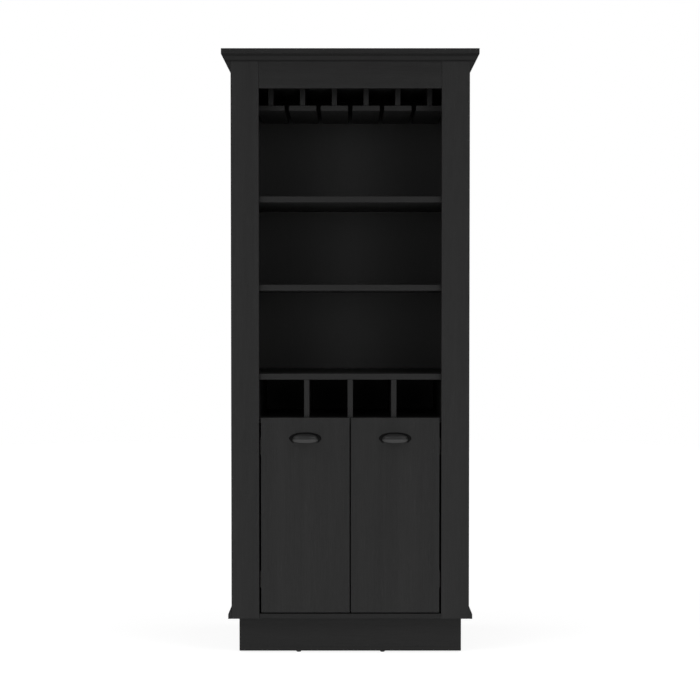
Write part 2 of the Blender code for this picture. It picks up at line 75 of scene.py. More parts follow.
class Slot(Enum):
    """Two material slot names, which nothing in this script uses."""

    PULL_METAL = "pull_metal"
    PLATED_STEEL = "plated_steel"


# ---- shader building ----


class Signal:
    """A number that varies over a surface, which sums can be written on."""

    def __init__(self, tree: "NodeTree", socket: bpy.types.NodeSocket) -> None:
        """Wraps one output socket of a tree."""
        self.tree = tree
        self.socket = socket

    def math(self, operation: str, *values: "Signal | float") -> "Signal":
        """Adds one Math node.

        Args:
            operation: The Math node's operation.
            values: Its inputs, in order.

        Returns:
            What the node gives.
        """
        node = self.tree.node("ShaderNodeMath", {"operation": operation}, dict(enumerate(values)))
        return Signal(self.tree, node.outputs[0])

    def __add__(self, other: "Signal | float") -> "Signal":
        """Sum."""
        return self.math("ADD", self, other)

    def __radd__(self, other: float) -> "Signal":
        """Sum with a plain number first."""
        return self.math("ADD", other, self)

    def __sub__(self, other: "Signal | float") -> "Signal":
        """Difference."""
        return self.math("SUBTRACT", self, other)

    def __rsub__(self, other: float) -> "Signal":
        """Difference from a plain number."""
        return self.math("SUBTRACT", other, self)

    def __mul__(self, other: "Signal | float") -> "Signal":
        """Product."""
        return self.math("MULTIPLY", self, other)

    def __rmul__(self, other: float) -> "Signal":
        """Product with a plain number first."""
        return self.math("MULTIPLY", other, self)

    def __abs__(self) -> "Signal":
        """Size without sign."""
        return self.math("ABSOLUTE", self)

    def smaller(self, other: "Signal | float") -> "Signal":
        """The lower of two values."""
        return self.math("MINIMUM", self, other)

    def larger(self, other: "Signal | float") -> "Signal":
        """The higher of two values."""
        return self.math("MAXIMUM", self, other)

    def sine(self) -> "Signal":
        """Sine, for evenly spaced marks."""
        return self.math("SINE", self)

    def power(self, exponent: float) -> "Signal":
        """Raised to a power."""
        return self.math("POWER", self, exponent)

    def ramp(self, start: float, end: float) -> "Signal":
        """A smooth rise from 0 to 1.

        Args:
            start: The value where it is 0.
            end: The value where it is 1, which may lie below start.

        Returns:
            The smooth step, held at 0 and 1 outside.
        """
        low, high = sorted((start, end))
        node = self.tree.node(
            "ShaderNodeMapRange",
            {"interpolation_type": "SMOOTHSTEP", "clamp": True},
            {"Value": self, "From Min": low, "From Max": high,
             "To Min": float(start > end), "To Max": float(start < end)},
        )
        return Signal(self.tree, node.outputs["Result"])


class NodeTree:
    """The nodes of a material or of the surround, added one by one."""

    def __init__(self, tree: bpy.types.NodeTree) -> None:
        """Wraps Blender's own node tree."""
        self.nodes = tree.nodes
        self.links = tree.links

    def node(self, kind: str, settings: dict[str, object],
             sockets: dict[str | int, object]) -> bpy.types.Node:
        """Adds any node.

        Args:
            kind: The node's type.
            settings: Its own settings, set first.
            sockets: What each input gets: a value, an output socket or a Signal.

        Returns:
            The new node.
        """
        made = self.nodes.new(kind)
        for name, value in settings.items():
            setattr(made, name, value)
        for name, value in sockets.items():
            self.feed(made.inputs[name], value)
        return made

    def feed(self, socket: bpy.types.NodeSocket, value: object) -> None:
        """Links a signal or a socket to an input, or sets its value.

        Args:
            socket: The input.
            value: What it gets.
        """
        source = value.socket if isinstance(value, Signal) else value
        if isinstance(source, bpy.types.NodeSocket):
            self.links.new(source, socket)
        else:
            socket.default_value = source

    def stretched(self, place: bpy.types.NodeSocket, scale: Sequence[float],
                  shift: Sequence[float] = (0.0, 0.0, 0.0)) -> bpy.types.NodeSocket:
        """A place scaled along each axis and then moved."""
        node = self.node("ShaderNodeVectorMath", {"operation": "MULTIPLY_ADD"},
                         {0: place, 1: tuple(scale), 2: tuple(shift)})
        return node.outputs[0]

    def noise(self, place: bpy.types.NodeSocket, scale: float, detail: float = 2.0,
              roughness: float = 0.5) -> Signal:
        """Even noise around 0.5.

        Args:
            place: Where it is read.
            scale: Features per metre.
            detail: Octaves.
            roughness: How much the fine octaves count.

        Returns:
            The noise.
        """
        node = self.node("ShaderNodeTexNoise", {},
                         {"Vector": place, "Scale": scale, "Detail": detail, "Roughness": roughness})
        return Signal(self, node.outputs["Fac"])

    def parts(self, vector: bpy.types.NodeSocket) -> tuple[Signal, Signal, Signal]:
        """The three numbers of a vector."""
        node = self.node("ShaderNodeSeparateXYZ", {}, {0: vector})
        return tuple(Signal(self, output) for output in node.outputs)

    def distance(self, place: bpy.types.NodeSocket, centre: Sequence[float]) -> Signal:
        """How far a place is from a fixed point."""
        node = self.node("ShaderNodeVectorMath", {"operation": "DISTANCE"}, {0: place, 1: tuple(centre)})
        return Signal(self, node.outputs["Value"])

    def blend(self, share: Signal, first: Colour, second: Colour) -> bpy.types.NodeSocket:
        """A colour between two, by a share from 0 to 1."""
        node = self.node("ShaderNodeMix", {"data_type": "RGBA", "clamp_factor": True},
                         {0: share, 6: (*first, 1.0), 7: (*second, 1.0)})
        return node.outputs[2]


class SurfaceTree(NodeTree):
    """One material under construction, around its Principled shader."""

    def __init__(self, name: str, roughness: float, metallic: float = 0.0, specular: float = 0.5) -> None:
        """Starts a material.

        Args:
            name: The material's name.
            roughness: Its even roughness, until a signal replaces it.
            metallic: 1 for bare metal.
            specular: The Principled shader's specular level.
        """
        self.material = bpy.data.materials.new(name)
        self.material.use_nodes = True
        super().__init__(self.material.node_tree)
        self.surface = self.nodes["Principled BSDF"]
        self.surface.inputs["Roughness"].default_value = roughness
        self.surface.inputs["Metallic"].default_value = metallic
        self.surface.inputs["Specular IOR Level"].default_value = specular

    def position(self) -> bpy.types.NodeSocket:
        """The place on the piece at rest, in metres."""
        return self.node("ShaderNodeTexCoord", {}, {}).outputs["Object"]

    def emboss(self, height: Signal, depth: float, strength: float = 1.0) -> None:
        """Gives the surface a relief.

        Args:
            height: The relief, in shares of depth.
            depth: Its depth in metres.
            strength: How much of it shows.
        """
        node = self.node("ShaderNodeBump", {}, {"Strength": strength, "Distance": depth, "Height": height})
        self.feed(self.surface.inputs["Normal"], node.outputs["Normal"])

    def finish(self, colour: object, roughness: object) -> bpy.types.Material:
        """Feeds the shader's colour and roughness.

        Args:
            colour: What its base colour gets.
            roughness: What its roughness gets.

        Returns:
            The finished material.
        """
        self.feed(self.surface.inputs["Base Color"], colour)
        self.feed(self.surface.inputs["Roughness"], roughness)
        return self.material


# ---- finishes ----


def tinted(colour: Colour, share: float) -> Colour:
    """A colour made lighter or darker by a share."""
    return tuple(part * share for part in colour)


@dataclass(frozen=True)
class BoardFace:
    """Where a board is, and how its laminate lies on it."""

    name: str
    grain: Grain
    low: Vector
    high: Vector
    number: int
    square: bool = True
    banded: bool = False
    shade_line_heights: tuple[float, ...] = ()

    def shift(self) -> Point:
        """An offset that gives each board its own stretch of the printed grain."""
        return (1.37 * self.number, 2.11 * self.number, 0.73 * self.number)

    def shade(self) -> float:
        """How light and glossy the board's laminate is: boards with their grain across, unless banded, get a
        darker, less glossy copy.
        """
        return 0.86 if self.grain is Grain.ACROSS and not self.banded else 1.0


@dataclass(frozen=True)
class LaminateFinish:
    """Black melamine with an embossed open grain, worn at its corners, with painted shade and higher
    roughness along some joints.

    Banded boards get painted light on their undersides, standing in for light bounced up from below.
    """

    colour: Colour = (0.0090, 0.0090, 0.0090)
    roughness: float = 0.44
    specular: float = 0.19
    long_grain: float = 0.035
    short_grain: float = 0.12
    figure_scale: float = 17.0
    fibre_scale: float = 310.0
    pore_scale: float = 980.0
    fleck_scale: float = 190.0
    relief: float = 0.00022
    relief_strength: float = 0.55
    corner: float = 0.0013
    corner_core: float = 0.0003
    chafe_scale: float = 85.0
    chafe_strength: float = 0.6
    band: float = 0.0007
    band_blur: float = 0.00008
    shade_line_width: float = 0.0048
    shade_line_core: float = 0.0005
    painted_underside_light_start: float = 0.0006
    painted_underside_light_full: float = 0.0001
    painted_underside_light_gain: float = 0.9
    lightest: float = 2.5
    touch_edge: float = 0.085
    touch_core: float = 0.02
    touch_scale: float = 60.0

    def material(self, board: BoardFace, touched: Sequence[float] | None = None) -> bpy.types.Material:
        """The laminate of one board.

        Args:
            board: The board that it covers.
            touched: The place that hands reach for, which gets a smoother sheen.

        Returns:
            The material.
        """
        tree = SurfaceTree(f"laminate_{board.name}", self.roughness, specular=self.specular * board.shade())
        base = tinted(self.colour, board.shade())
        place = tree.position()
        along = tree.stretched(place, board.grain.stretch(self.long_grain), board.shift())
        short = tree.stretched(place, board.grain.stretch(self.short_grain), board.shift())
        figure = tree.noise(along, self.figure_scale, 3.0, 0.55)
        fibre = tree.noise(along, self.fibre_scale, 3.0, 0.6)
        pores = tree.noise(along, self.pore_scale, 2.0, 0.5).ramp(0.56, 0.68)
        flecks = tree.noise(short, self.fleck_scale, 1.0, 0.4).ramp(0.66, 0.76)
        band = self.band_mask(tree, place, board)
        # Corner wear: broken, lighter chafing along the board's corners.
        wear_and_painted_highlight = self.corner_mask(tree, place, board)
        plain = 1.0 - band
        lightness = 1.0 + (figure - 0.5) * 0.75 + (fibre - 0.5) * plain * 0.75
        lightness = lightness - pores * plain * 0.15 + flecks * plain * 0.2 + wear_and_painted_highlight * 0.5
        roughness = self.roughness + (fibre - 0.5) * 0.10 + pores * 0.08 - wear_and_painted_highlight * 0.08 - band * 0.05
        # Painted shade: a dark line along each listed joint height, where shadow falls under a lip or over a
        # recess; it is rougher there too.
        for height in board.shade_line_heights:
            painted_joint_shade = abs(tree.parts(place)[2] - height).ramp(self.shade_line_width, self.shade_line_core)
            lightness = lightness - painted_joint_shade * 0.55
            roughness = roughness + painted_joint_shade * 0.27
        # Painted light: the underside of a banded board is made lighter, standing in for light bounced up
        # from below.
        if board.banded:
            painted_underside_light = tree.parts(place)[2].ramp(board.low.z + self.painted_underside_light_start,
                                                  board.low.z + self.painted_underside_light_full)
            lightness = lightness + painted_underside_light * self.painted_underside_light_gain
        colour = tree.blend(lightness * (1.0 / self.lightest), (0.0, 0.0, 0.0), tinted(base, self.lightest))
        if touched is not None:
            near = tree.distance(place, touched).ramp(self.touch_edge, self.touch_core)
            smudge = near * tree.noise(place, self.touch_scale, 3.0)
            roughness = roughness - smudge * 0.10
        tree.emboss((0.5 * fibre - pores + 0.6 * flecks) * plain, self.relief, self.relief_strength)
        return tree.finish(colour, roughness)

    def band_mask(self, tree: SurfaceTree, place: bpy.types.NodeSocket, board: BoardFace) -> Signal:
        """Marks the smooth edge band along a board's front edge.

        Args:
            tree: The laminate's nodes.
            place: Where it is read.
            board: The board, which has a band only if it is banded.

        Returns:
            1 on the band and 0 elsewhere.
        """
        deep = tree.parts(place)[1]
        edge = board.low.y + self.band if board.banded else board.low.y - self.band
        return deep.ramp(edge + self.band_blur, edge - self.band_blur)

    def corner_mask(self, tree: SurfaceTree, place: bpy.types.NodeSocket, board: BoardFace) -> Signal:
        """Marks broken wear along a board's corners, from how near its two nearest faces are.

        Args:
            tree: The laminate's nodes.
            place: Where it is read.
            board: The board, which is worn only if it is square.

        Returns:
            The wear, from 0 to its full strength.
        """
        middle, half = (board.low + board.high) / 2, (board.high - board.low) / 2
        to_face = [half[axis] - abs(part - middle[axis]) for axis, part in enumerate(tree.parts(place))]
        across, deep, up = to_face
        second = across.smaller(deep).larger(across.larger(deep).smaller(up))
        chafed = tree.noise(place, self.chafe_scale, 4.0, 0.65).ramp(0.46, 0.66)
        strength = self.chafe_strength if board.square else 0.0
        return second.ramp(self.corner, self.corner_core) * chafed * strength


@dataclass(frozen=True)
class HardboardFinish:
    """The thin back: printed inside, and with the woven mark of its press outside."""

    colour: Colour = (0.0132, 0.0132, 0.0132)
    roughness: float = 0.55
    specular: float = 0.21
    weave: float = 0.0016
    long_grain: float = 0.05
    fibre_scale: float = 260.0
    figure_scale: float = 14.0
    pulp_scale: float = 240.0
    outside_start: float = 0.0012
    outside_full: float = 0.0004
    relief: float = 0.00018
    relief_strength: float = 0.6

    def material(self, board: BoardFace) -> bpy.types.Material:
        """The back panel's material.

        Args:
            board: The panel that it covers.

        Returns:
            The material.
        """
        tree = SurfaceTree("hardboard_back", self.roughness, specular=self.specular)
        place = tree.position()
        along = tree.stretched(place, board.grain.stretch(self.long_grain), board.shift())
        fibre = tree.noise(along, self.fibre_scale, 3.0, 0.6)
        figure = tree.noise(along, self.figure_scale, 2.0, 0.5)
        across, deep, up = tree.parts(place)
        outside = deep.ramp(board.high.y - self.outside_start, board.high.y - self.outside_full)
        turns = 2 * math.pi / self.weave
        mesh_mark = (across * turns).sine() * (up * turns).sine()
        pulp = tree.noise(place, self.pulp_scale, 4.0, 0.7)
        tone = 0.5 + (figure - 0.5) * 0.6 + (fibre - 0.5) * 0.5 + outside * (pulp - 0.42) * 0.9
        colour = tree.blend(tone, tinted(self.colour, 0.75), tinted(self.colour, 1.25))
        roughness = self.roughness + (pulp - 0.5) * 0.12 + outside * 0.12
        tree.emboss(fibre * (1.0 - outside) * 0.5 + mesh_mark * outside * 0.5 + pulp * outside * 0.4,
                    self.relief, self.relief_strength)
        return tree.finish(colour, roughness)


@dataclass(frozen=True)
class CoatedMetalFinish:
    """The pulls' black coat: satin on the dome, a painted highlight as lighter grey on the lip, and glossy
    on the flat border.
    """

    colour: Colour = (0.0400, 0.0400, 0.0400)
    border_colour: Colour = (0.0004, 0.0004, 0.0004)
    roughness: float = 0.60
    border_roughness: float = 0.10
    border: float = 0.0023
    border_blur: float = 0.0009
    lip: float = 0.0105
    lip_blur: float = 0.0012
    specular: float = 0.30
    peel_scale: float = 1500.0
    cloud_scale: float = 120.0
    relief: float = 0.000015
    relief_strength: float = 0.5

    def material(self, back: float, low: float) -> bpy.types.Material:
        """The coat of one pull.

        Args:
            back: How deep the back of the flat border is.
            low: How high the lower edge of the lip is.

        Returns:
            The material.
        """
        tree = SurfaceTree("satin_black_pull", self.roughness, specular=self.specular)
        place = tree.position()
        peel = tree.noise(place, self.peel_scale, 2.0, 0.5)
        cloud = tree.noise(place, self.cloud_scale, 3.0, 0.6)
        across, deep, up = tree.parts(place)
        domed = deep.ramp(back - self.border, back - self.border - self.border_blur)
        # Painted highlight: the lip gets a lighter grey, and is also a little smoother.
        wear_and_painted_highlight = up.ramp(low + self.lip + self.lip_blur, low + self.lip - self.lip_blur)
        tone = domed * (0.06 + (cloud - 0.5) * 0.08 + wear_and_painted_highlight * 0.65)
        colour = tree.blend(tone, self.border_colour, self.colour)
        satin = self.roughness - self.border_roughness + (cloud - 0.5) * 0.12 - wear_and_painted_highlight * 0.14
        roughness = self.border_roughness + domed * satin
        tree.emboss(peel, self.relief, self.relief_strength)
        return tree.finish(colour, roughness)


@dataclass(frozen=True)
class PlatedSteelFinish:
    """Black nickel plate over stamped steel, faintly streaked by the press."""

    colour: Colour = (0.090, 0.088, 0.086)
    roughness: float = 0.30
    long_streak: float = 0.06
    streak_scale: float = 1900.0
    cloud_scale: float = 210.0
    relief: float = 0.00003
    relief_strength: float = 0.4

    def material(self, name: str, streaks: Grain) -> bpy.types.Material:
        """Plated steel with its streaks along one direction.

        Args:
            name: The material's name.
            streaks: The direction of the streaks.

        Returns:
            The material.
        """
        tree = SurfaceTree(name, self.roughness, metallic=1.0)
        place = tree.position()
        along = tree.stretched(place, streaks.stretch(self.long_streak))
        drawn = tree.noise(along, self.streak_scale, 3.0, 0.6)
        cloud = tree.noise(place, self.cloud_scale, 3.0, 0.6)
        colour = tree.blend(0.5 + (cloud - 0.5) * 0.8 + (drawn - 0.5) * 0.5,
                            tinted(self.colour, 0.78), tinted(self.colour, 1.12))
        roughness = self.roughness + (drawn - 0.5) * 0.16 + (cloud - 0.5) * 0.10
        tree.emboss(drawn, self.relief, self.relief_strength)
        return tree.finish(colour, roughness)


@dataclass(frozen=True)
class MouldedPlasticFinish:
    """Black moulded plastic with a fine spark-eroded texture, scuffed where it stands."""

    colour: Colour = (0.014, 0.014, 0.014)
    roughness: float = 0.52
    pit_scale: float = 1300.0
    scuff_scale: float = 420.0
    scuff_start: float = 0.0012
    scuff_full: float = 0.0001
    relief: float = 0.00006
    relief_strength: float = 0.5

    def material(self, name: str) -> bpy.types.Material:
        """The plastic of the glides.

        Args:
            name: The material's name.

        Returns:
            The material.
        """
        tree = SurfaceTree(name, self.roughness)
        place = tree.position()
        pits = tree.noise(place, self.pit_scale, 3.0, 0.6)
        underfoot = tree.parts(place)[2].ramp(self.scuff_start, self.scuff_full)
        scuffed = underfoot * tree.noise(place, self.scuff_scale, 3.0).ramp(0.45, 0.6)
        colour = tree.blend(0.3 + (pits - 0.5) * 0.5 + scuffed * 0.6,
                            tinted(self.colour, 0.7), tinted(self.colour, 2.2))
        tree.emboss(pits, self.relief, self.relief_strength)
        return tree.finish(colour, self.roughness + (pits - 0.5) * 0.12 + scuffed * 0.1)


@dataclass(frozen=True)
class FloorFinish:
    """A plain pale floor, lit from below as well, that fades out into the white around it."""

    colour: Colour = (0.24, 0.24, 0.24)
    roughness: float = 0.6
    glow: float = 0.82
    fade_from: float = 5.6
    fade_to: float = 7.6
    cloud_scale: float = 1.6
    fine_scale: float = 90.0

    def material(self) -> bpy.types.Material:
        """The floor's material, which turns clear with distance.

        Returns:
            The material.
        """
        tree = SurfaceTree("pale_floor", self.roughness, specular=0.2)
        tree.feed(tree.surface.inputs["Emission Color"], (1.0, 1.0, 1.0, 1.0))
        tree.feed(tree.surface.inputs["Emission Strength"], self.glow)
        place = tree.position()
        cloud = tree.noise(place, self.cloud_scale, 3.0)
        fine = tree.noise(place, self.fine_scale, 3.0)
        tone = 0.5 + (cloud - 0.5) * 0.3 + (fine - 0.5) * 0.1
        tree.feed(tree.surface.inputs["Alpha"],
                  tree.distance(place, (0.0, 0.0, 0.0)).ramp(self.fade_to, self.fade_from))
        return tree.finish(tree.blend(tone, tinted(self.colour, 0.98), tinted(self.colour, 1.02)),
                           self.roughness + (fine - 0.5) * 0.1)


# ---- mesh building ----


def add_piece(name: str, shape: bmesh.types.BMesh, material: bpy.types.Material,
              smooth_angle: float | None = 35.0) -> bpy.types.Object:
    """Puts a finished shape into the scene.

    Args:
        name: The piece's name.
        shape: Its mesh, in the model's own frame, which is used up.
        material: Its finish.
        smooth_angle: Edges flatter than this many degrees are shaded smooth.

    Returns:
        The new object.
    """
    bmesh.ops.recalc_face_normals(shape, faces=shape.faces)
    mesh = bpy.data.meshes.new(name)
    shape.to_mesh(mesh)
    shape.free()
    mesh.materials.append(material)
    if smooth_angle is not None:
        mesh.shade_smooth()
        mesh.set_sharp_from_angle(angle=math.radians(smooth_angle))
    piece = bpy.data.objects.new(name, mesh)
    bpy.context.scene.collection.objects.link(piece)
    return piece


def turned(profile: Iterable[tuple[float, float]], steps: int) -> bmesh.types.BMesh:
    """A shape turned about +Z.

    Args:
        profile: (radius, height) points from axis to axis.
        steps: How many flats the round has.

    Returns:
        The shape.
    """
    shape = bmesh.new()
    chain = [shape.verts.new((radius, 0.0, height)) for radius, height in profile]
    edges = [shape.edges.new(pair) for pair in zip(chain, chain[1:])]
    bmesh.ops.spin(shape, geom=chain + edges, cent=(0, 0, 0), axis=(0, 0, 1),
                   angle=2 * math.pi, steps=steps, use_duplicate=False)
    bmesh.ops.remove_doubles(shape, verts=shape.verts, dist=1e-7)
    return shape


def gathered(parts: Iterable[tuple[bpy.types.Mesh, Matrix]]) -> bmesh.types.BMesh:
    """Copies meshes, each to its own place, into one shape.

    Args:
        parts: Each mesh with its placing matrix.

    Returns:
        The shape.
    """
    shape = bmesh.new()
    for mesh, place in parts:
        copy = mesh.copy()
        copy.transform(place)
        shape.from_mesh(copy)
        bpy.data.meshes.remove(copy)
    return shape


def facing(direction: Sequence[float], place: Sequence[float], turn: float = 0.0) -> Matrix:
    """A place for something drawn along +Z.

    Args:
        direction: Where its +Z points.
        place: Where its origin goes.
        turn: Degrees that it is turned about its own axis.

    Returns:
        The placing matrix.
    """
    rotation = Vector(direction).to_track_quat("Z", "Y").to_matrix().to_4x4()
    return Matrix.Translation(place) @ rotation @ Matrix.Rotation(math.radians(turn), 4, "Z")


@dataclass
class CrossHeadScrew:
    """A pan-head screw with a cross recess, drawn with its seat at height 0."""

    head_radius: float = 0.0042
    head_height: float = 0.0024
    shank_radius: float = 0.0020
    shank_length: float = 0.0040
    recess_reach: float = 0.0024
    recess_width: float = 0.0009
    recess_depth: float = 0.0014
    tip_share: float = 0.62
    mouth_share: float = 1.15
    mouth_rise: float = 1.3
    steps: int = 28

    def mesh(self, name: str) -> bpy.types.Mesh:
        """Builds the screw and cuts its recess.

        Args:
            name: The mesh's name.

        Returns:
            The finished mesh.
        """
        r, h = self.head_radius, self.head_height
        profile = [(0.0, -self.shank_length), (self.shank_radius, -self.shank_length),
                   (self.shank_radius, 0.0), (r * 0.97, 0.0), (r, h * 0.12), (r, h * 0.42),
                   (r * 0.93, h * 0.66), (r * 0.78, h * 0.84), (r * 0.5, h * 0.96), (0.0, h)]
        body = self.as_object(f"{name}_body", turned(profile, self.steps))
        cutter = self.as_object(f"{name}_recess", self.cross())
        cut = body.modifiers.new("recess", "BOOLEAN")
        cut.operation, cut.solver, cut.object = "DIFFERENCE", "EXACT", cutter
        seen = body.evaluated_get(bpy.context.evaluated_depsgraph_get())
        mesh = bpy.data.meshes.new_from_object(seen)
        mesh.name = name
        for used in (body, cutter):
            bpy.data.objects.remove(used)
        return mesh

    def cross(self) -> bmesh.types.BMesh:
        """A cross-shaped punch that narrows towards its tip.

        Returns:
            The shape.
        """
        a, b = self.recess_width / 2, self.recess_reach
        outline = [(a, b), (a, a), (b, a), (b, -a), (a, -a), (a, -b),
                   (-a, -b), (-a, -a), (-b, -a), (-b, a), (-a, a), (-a, b)]
        shape = bmesh.new()
        floor = self.head_height - self.recess_depth
        top = self.head_height * self.mouth_rise
        tip = [shape.verts.new((x * self.tip_share, y * self.tip_share, floor)) for x, y in outline]
        mouth = [shape.verts.new((x * self.mouth_share, y * self.mouth_share, top)) for x, y in outline]
        shape.faces.new(tip)
        shape.faces.new(mouth)
        for here in range(len(outline)):
            after = (here + 1) % len(outline)
            shape.faces.new((tip[here], tip[after], mouth[after], mouth[here]))
        return shape

    @staticmethod
    def as_object(name: str, shape: bmesh.types.BMesh) -> bpy.types.Object:
        """Puts a shape into the scene as a bare helper object.

        Args:
            name: The helper's name.
            shape: Its mesh, which is used up.

        Returns:
            The helper.
        """
        bmesh.ops.recalc_face_normals(shape, faces=shape.faces)
        mesh = bpy.data.meshes.new(name)
        shape.to_mesh(mesh)
        shape.free()
        helper = bpy.data.objects.new(name, mesh)
        bpy.context.scene.collection.objects.link(helper)
        bpy.context.view_layer.update()
        return helper


# ---- the cabinet's parts ----


def dress(node: str, material: bpy.types.Material) -> None:
    """Gives a CAD node its finish.

    Args:
        node: The node's name.
        material: Its finish.
    """
    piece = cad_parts[node]
    for slot in piece.material_slots:
        slot.material = material
    if not piece.material_slots:
        piece.data.materials.append(material)


@dataclass
class Boards:
    """A group of boards that share one laminate, with the grain of each."""

    title: str
    grains: dict[str, Grain]
    first_number: int
    finish: LaminateFinish = field(default_factory=LaminateFinish)
    banded: bool = False
    shaped: tuple[str, ...] = ()
    shade_line_heights: tuple[float, ...] = ()

    def dress(self) -> int:
        """Covers each board.

        Returns:
            How many boards there are.
        """
        for number, (node, grain) in enumerate(self.grains.items(), self.first_number):
            low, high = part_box(node)
            square = node not in self.shaped
            face = BoardFace(node, grain, low, high, number, square, self.banded, self.shade_line_heights)
            dress(node, self.finish.material(face))
        return len(self.grains)


@dataclass
class BackPanel:
    """The thin back and the nails that hold it."""

    nail_pitch: float = 0.112
    nail_inset: float = 0.008
    nail_radius: float = 0.0026
    nail_rise: float = 0.0007
    nail_steps: int = 10
    shelf_nodes: tuple[str, ...] = ("upper_shelf", "middle_shelf", "cubby_top_shelf", "cubby_floor")

    def build(self, steel: bpy.types.Material) -> None:
        """Drives the nails into the panel's edges and into the shelves in front of it.

        Args:
            steel: The nails' plated steel.
        """
        low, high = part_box("back_panel")
        places = [(x, z) for x in (low.x + self.nail_inset, high.x - self.nail_inset)
                  for z in self.spread(low.z + 3 * self.nail_inset, high.z - 3 * self.nail_inset)]
        heights = [low.z + self.nail_inset]
        for node in self.shelf_nodes:
            under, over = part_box(node)
            heights.append((under.z + over.z) / 2)
        places += [(x, z) for z in heights
                   for x in self.spread(low.x + 6 * self.nail_inset, high.x - 6 * self.nail_inset)]
        r, rise = self.nail_radius, self.nail_rise
        profile = [(0.0, -rise), (r, -rise), (r, rise * 0.3), (r * 0.8, rise * 0.75), (0.0, rise)]
        head = turned(profile, self.nail_steps)
        mesh = bpy.data.meshes.new("back_nail_head")
        head.to_mesh(mesh)
        head.free()
        shape = gathered((mesh, facing((0, 1, 0), (x, high.y, z))) for x, z in places)
        nails = add_piece("back_panel_nails", shape, steel)
        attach(nails, CABINET)

    def spread(self, start: float, end: float) -> list[float]:
        """Evenly spaced places, about one nail pitch apart."""
        gaps = max(1, round((end - start) / self.nail_pitch))
        return [start + (end - start) * number / gaps for number in range(gaps + 1)]

    def dress(self) -> None:
        """Gives the panel its print and the mark of its press."""
        low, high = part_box("back_panel")
        face = BoardFace("back_panel", Grain.UP, low, high, 40)
        dress("back_panel", HardboardFinish().material(face))


@dataclass
class Door:
    """One door with its pull, its screws and its half of the hinges."""

    side: str
    number: int
    screw: CrossHeadScrew = field(default_factory=CrossHeadScrew)
    ear_screw_spread: float = 0.0225
    ear_screw_place: float = 0.0292
    ear_screw_sink: float = 0.0004
    ear_screw_turn: float = 33.0
    pull_screw_turn: float = 20.0
    lip_depth: float = 0.004
    lip_rise: float = 0.003
    dome_angle: float = 38.0

    @property
    def body(self) -> str:
        """The body that the door is."""
        return f"{self.side}_door"

    def grip(self) -> Vector:
        """The middle of the pull's lip."""
        low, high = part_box(f"{self.side}_cup_pull")
        return Vector(((low.x + high.x) / 2, low.y + self.lip_depth, low.z + self.lip_rise))

    def dress(self, steel: bpy.types.Material) -> None:
        """Covers the door and the hinge cups.

        Args:
            steel: The hinges' plated steel.
        """
        low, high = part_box(self.body)
        face = BoardFace(self.body, Grain.UP, low, high, self.number)
        dress(self.body, LaminateFinish().material(face, self.grip()))
        for level in LEVELS:
            dress(f"{self.side}_{level}_hinge_cup", steel)

    def build(self, mesh: bpy.types.Mesh, steel: bpy.types.Material) -> None:
        """Adds the door's pull and screws.

        Args:
            mesh: The screw that they are all copies of.
            steel: Their plated steel.
        """
        self.add_pull()
        for number in (1, 2):
            node = f"{self.side}_pull_screw_{number}"
            low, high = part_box(node)
            seat = ((low.x + high.x) / 2, high.y - self.screw.head_height, (low.z + high.z) / 2)
            turn = self.pull_screw_turn * number + self.number
            shape = gathered([(mesh, facing((0, 1, 0), seat, turn))])
            self.keep(f"{node}_cross_head", shape, steel, node)
        for level in LEVELS:
            node = f"{self.side}_{level}_hinge_cup"
            low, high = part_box(node)
            inward = 1 if self.side == "left" else -1
            ear = (low.x if inward > 0 else high.x) + inward * self.ear_screw_place
            middle = (low.z + high.z) / 2
            sunk, turn = high.y - self.ear_screw_sink, self.ear_screw_turn * inward
            places = [facing((0, 1, 0), (ear, sunk, middle + up), turn)
                      for up in (-self.ear_screw_spread, self.ear_screw_spread)]
            self.keep(f"{node}_screws", gathered((mesh, place) for place in places), steel)

    def add_pull(self) -> None:
        """Puts a coated pull with a smoothly rounded dome in the place of the plain one."""
        node = f"{self.side}_cup_pull"
        lowest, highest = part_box(node)
        coat = CoatedMetalFinish().material(highest.y, lowest.z)
        dress(node, coat)
        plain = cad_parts[node]
        shape = gathered([(plain.data, plain.matrix_world)])
        bmesh.ops.remove_doubles(shape, verts=shape.verts, dist=1e-6)
        pull = add_piece(f"{node}_smooth", shape, coat, self.dome_angle)
        for face in pull.data.polygons:
            face.use_smooth = face.center.y < highest.y - CoatedMetalFinish.border
        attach(pull, self.body)
        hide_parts(node)

    def keep(self, name: str, shape: bmesh.types.BMesh, steel: bpy.types.Material,
             node: str | None = None) -> None:
        """Adds a steel piece that rides on the door.

        Args:
            name: The piece's name.
            shape: Its mesh, which is used up.
            steel: Its plated steel.
            node: The CAD node that it takes the place of, if any.
        """
        piece = add_piece(name, shape, steel)
        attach(piece, self.body)
        if node:
            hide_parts(node)


